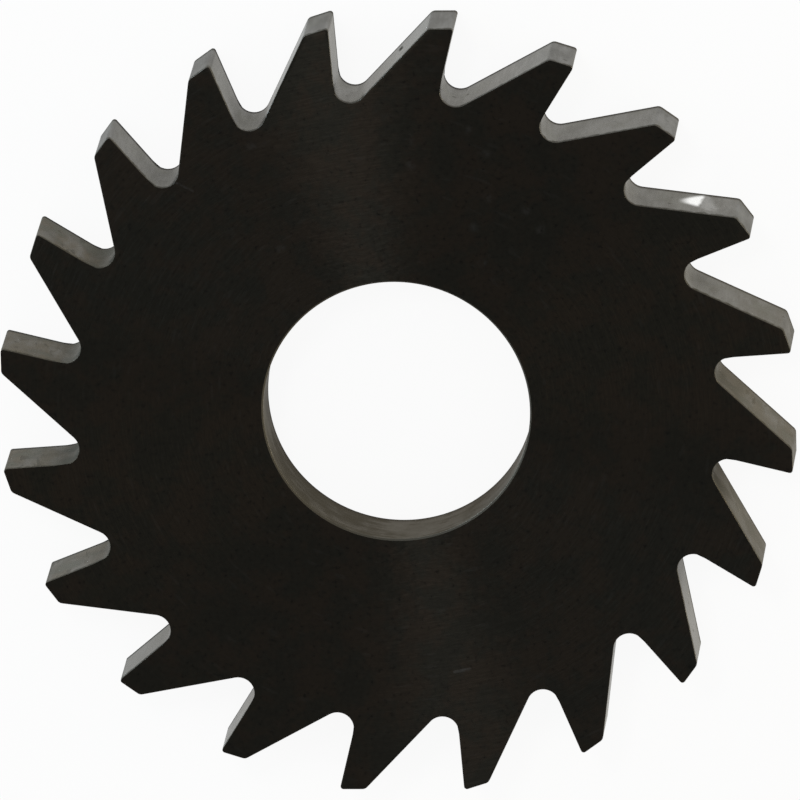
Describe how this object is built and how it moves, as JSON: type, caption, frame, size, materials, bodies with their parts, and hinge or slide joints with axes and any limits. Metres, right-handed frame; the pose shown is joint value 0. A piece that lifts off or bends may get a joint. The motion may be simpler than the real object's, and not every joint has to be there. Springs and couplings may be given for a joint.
{
  "type": "slitting saw",
  "caption": "Flat round slitting saw: a thin disc with raked teeth and rounded gullets all round its rim, and a plain round bore for an arbor.",
  "frame": {"origin": "on the bore's axis, level with the lower tooth corners that the blade rests on", "axes": "+Z along the bore's axis, out of the upper side; +X through one tooth tip; seen from above the teeth point clockwise"},
  "size_m": [0.019, 0.019, 0.0017],
  "materials": {
    "black_sides": "ground with fine concentric marks, then blackened, with a low sheen",
    "ground_steel": "bare grey ground steel on the teeth, gullets and bore"
  },
  "bodies": {
    "root": {"slitting_saw": "black_sides"}
  },
  "joints": []
}
